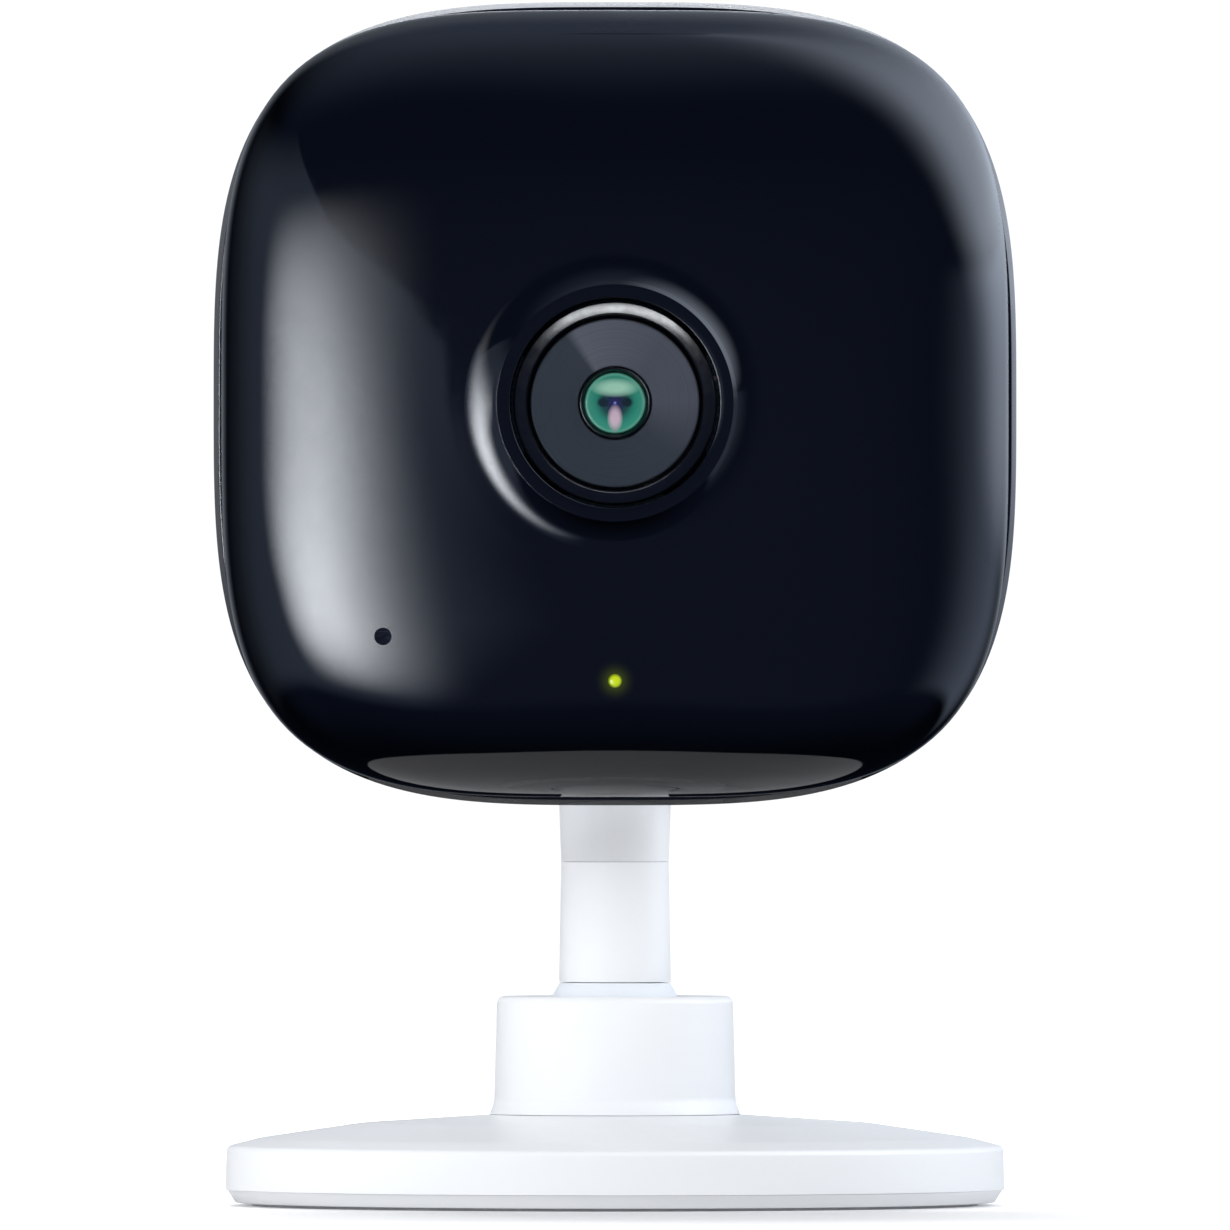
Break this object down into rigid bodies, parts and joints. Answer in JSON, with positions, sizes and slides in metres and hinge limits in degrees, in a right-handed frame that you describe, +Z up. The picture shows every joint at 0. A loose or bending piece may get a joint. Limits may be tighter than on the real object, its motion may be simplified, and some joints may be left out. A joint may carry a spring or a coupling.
{
  "type": "security camera",
  "caption": "Desk-top security camera: a rounded-square head with a glossy black face on a ball-jointed neck that stands on a weighted round base.",
  "frame": {"origin": "centre of the round base's underside, on the surface that it stands on", "axes": "+Z up through the neck to the head; the lens faces -Y; +X is to the right as seen from in front"},
  "size_m": [0.067, 0.0652, 0.1005],
  "materials": {
    "gloss_black": "piano-black gloss with a faint blue cast",
    "graphite": "satin graphite, fine concentric turning",
    "white": "fine satin white",
    "cool_white": "satin cool white",
    "grey_nylon": "matt natural grey nylon",
    "black_plastic": "matt black, fine spark texture",
    "rubber": "matt grey rubber",
    "steel": "zinc-plated steel",
    "aluminium": "satin sheet",
    "brass": "thin bright foil",
    "lens_glass": "green-coated polished glass",
    "clear_glass": "clear",
    "indicator": "yellow-green light pipe, lit",
    "board": "green solder mask",
    "chip": "black moulding compound"
  },
  "bodies": {
    "base": {"base_cover": "white", "base_bottom_plate": "cool_white", "foot_pad": "rubber", "ballast_plate": "steel", "pan_friction_washer": "grey_nylon", "base_screw_1": "steel", "base_screw_2": "steel", "base_screw_3": "steel"},
    "hub": {"hub_shell": "white", "hub_base_plate": "cool_white", "ball_cup": "grey_nylon", "cup_spring": "steel", "pan_retaining_clip": "steel", "hub_screw_1": "steel", "hub_screw_2": "steel"},
    "neck": {"ball_stud": "cool_white", "neck_sleeve": "white", "swivel_friction_washer": "grey_nylon", "swivel_bolt": "steel", "swivel_spring_washer": "steel"},
    "head": {"head_collar": "white", "front_cover": "gloss_black", "trim_ring": "gloss_black", "rear_housing": "white", "lens_surround": "gloss_black", "lens_face_plate": "graphite", "lens_retaining_ring": "gloss_black", "lens_front_element": "lens_glass", "lens_barrel": "black_plastic", "lens_rear_element": "clear_glass", "lens_holder": "black_plastic", "ir_cut_filter": "clear_glass", "image_sensor": "chip", "camera_board": "board", "led_light_pipe": "indicator", "status_led": "clear_glass", "microphone": "steel", "mic_gasket": "rubber", "ir_led_1": "chip", "ir_led_2": "chip", "light_sensor": "chip", "inner_chassis": "black_plastic", "chassis_screw_1": "steel", "chassis_screw_2": "steel", "chassis_screw_3": "steel", "chassis_screw_4": "steel", "main_board": "board", "rf_shield": "aluminium", "processor": "chip", "memory_chip": "chip", "heat_spreader": "aluminium", "wifi_antenna": "brass", "speaker_driver": "black_plastic", "speaker_gasket": "rubber", "usb_socket": "steel", "reset_switch": "chip"},
    "reset_button": {"reset_button": "cool_white"}
  },
  "joints": [
    {"name": "base_pan", "type": "hinge", "parent": "base", "child": "hub", "pos_m": [0, 0, 0.0078], "axis": [0, 0, 1], "continuous": true},
    {"name": "neck_tilt", "type": "hinge", "parent": "hub", "child": "neck", "pos_m": [0, 0, 0.01523], "axis": [-1, 0, 0], "range_deg": [-10, 50]},
    {"name": "head_swivel", "type": "hinge", "parent": "neck", "child": "head", "pos_m": [0, 0, 0.02875], "axis": [0, 0, 1], "continuous": true},
    {"name": "reset_press", "type": "slide", "parent": "head", "child": "reset_button", "axis": [0, -1, 0], "range_m": [0, 0.0004], "stiffness_N_per_m": 1500, "springref_m": -0.0003}
  ]
}
